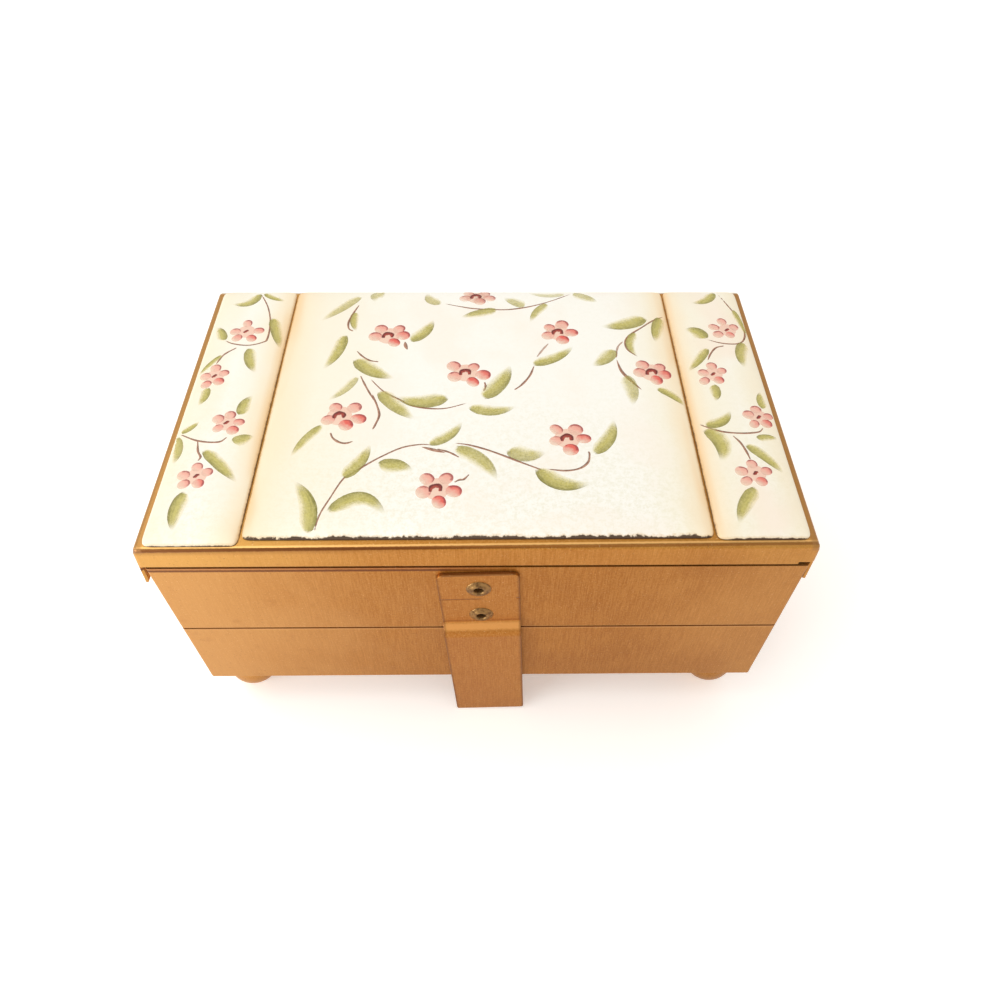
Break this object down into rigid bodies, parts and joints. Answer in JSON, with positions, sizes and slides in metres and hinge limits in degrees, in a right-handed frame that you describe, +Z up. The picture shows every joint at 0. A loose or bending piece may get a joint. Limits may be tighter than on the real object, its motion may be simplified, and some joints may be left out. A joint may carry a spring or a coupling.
{
  "type": "tiered jewelry box",
  "caption": "Metal jewelry box with a padded hinged lid, an upper tier that swings forward on side arms, and a lower tier on ball feet.",
  "frame": {"origin": "on the floor plane, under the centre of the closed box's outer size", "axes": "+X to the right along the front, +Y to the rear where the lid hinges, +Z up"},
  "size_m": [0.1842, 0.1152, 0.0928],
  "materials": {
    "gold_sheet": "satin gold lacquered sheet, fine upright brush marks",
    "gold_strap": "satin gold lacquered bar",
    "gold_trim": "satin gold arms, hinge and feet",
    "bronze_rivet": "dull grey-bronze rivets",
    "cream_panel": "cream padded panel with tan shading at the edges",
    "steel_fastener": "plain plated screws, pin and washers",
    "velvet": "dusty rose-brown velvet over board",
    "velvet_pad": "dusty rose-brown velvet over foam"
  },
  "bodies": {
    "lower_tier": {"lower_tray": "gold_sheet", "lower_divider": "velvet", "lower_lining_floor": "velvet_pad", "base_pivot_rivets": "bronze_rivet", "base_pivot_washers": "steel_fastener", "foot_screws": "steel_fastener", "lower_lining_front": "velvet", "lower_lining_rear": "velvet", "lower_lining_left": "velvet", "lower_lining_right": "velvet", "foot_front_left": "gold_trim", "foot_front_right": "gold_trim", "foot_rear_left": "gold_trim", "foot_rear_right": "gold_trim"},
    "upper_tier": {"upper_tray": "gold_sheet", "upper_divider": "velvet", "upper_lining_floor": "velvet_pad", "ring_cushion": "velvet_pad", "front_strap": "gold_strap", "strap_rivets": "bronze_rivet", "tray_pivot_rivets": "bronze_rivet", "tray_pivot_washers": "steel_fastener", "tray_hinge_leaf": "gold_trim", "tray_hinge_rivets": "bronze_rivet", "lid_hinge_pin": "steel_fastener", "upper_lining_front": "velvet", "upper_lining_rear": "velvet", "upper_lining_left": "velvet", "upper_lining_right": "velvet"},
    "lid": {"lid_shell": "gold_sheet", "lid_centre_panel": "cream_panel", "lid_left_panel": "cream_panel", "lid_right_panel": "cream_panel", "lid_lining": "velvet_pad", "lid_hinge_leaf": "gold_trim", "lid_hinge_rivets": "bronze_rivet"},
    "front_left_arm": {"arm_front_left": "gold_trim"},
    "front_right_arm": {"arm_front_right": "gold_trim"},
    "rear_left_arm": {"arm_rear_left": "gold_trim"},
    "rear_right_arm": {"arm_rear_right": "gold_trim"}
  },
  "joints": [
    {"name": "front_left_arm_swing", "type": "hinge", "parent": "lower_tier", "child": "front_left_arm", "pos_m": [-0.09, -0.04183, 0.0345], "axis": [1, 0, 0], "range_deg": [0, 119.95]},
    {"name": "front_right_arm_swing", "type": "hinge", "parent": "lower_tier", "child": "front_right_arm", "pos_m": [0.09, -0.04183, 0.0345], "axis": [1, 0, 0], "range_deg": [0, 119.95]},
    {"name": "rear_left_arm_swing", "type": "hinge", "parent": "lower_tier", "child": "rear_left_arm", "pos_m": [-0.09, -0.00983, 0.0345], "axis": [1, 0, 0], "range_deg": [0, 119.95]},
    {"name": "rear_right_arm_swing", "type": "hinge", "parent": "lower_tier", "child": "rear_right_arm", "pos_m": [0.09, -0.00983, 0.0345], "axis": [1, 0, 0], "range_deg": [0, 119.95]},
    {"name": "upper_tier_level", "type": "hinge", "parent": "front_left_arm", "child": "upper_tier", "pos_m": [-0.09, 0.01268, 0.066], "axis": [1, 0, 0], "range_deg": [-119.95, 0]},
    {"name": "lid_hinge", "type": "hinge", "parent": "upper_tier", "child": "lid", "pos_m": [0, 0.05588, 0.0831], "axis": [-1, 0, 0], "range_deg": [0, 105]}
  ],
  "couplings": [
    {"joint": "front_right_arm_swing", "follows": "front_left_arm_swing", "ratio": 1},
    {"joint": "rear_left_arm_swing", "follows": "front_left_arm_swing", "ratio": 1},
    {"joint": "rear_right_arm_swing", "follows": "front_left_arm_swing", "ratio": 1},
    {"joint": "upper_tier_level", "follows": "front_left_arm_swing", "ratio": -1}
  ]
}
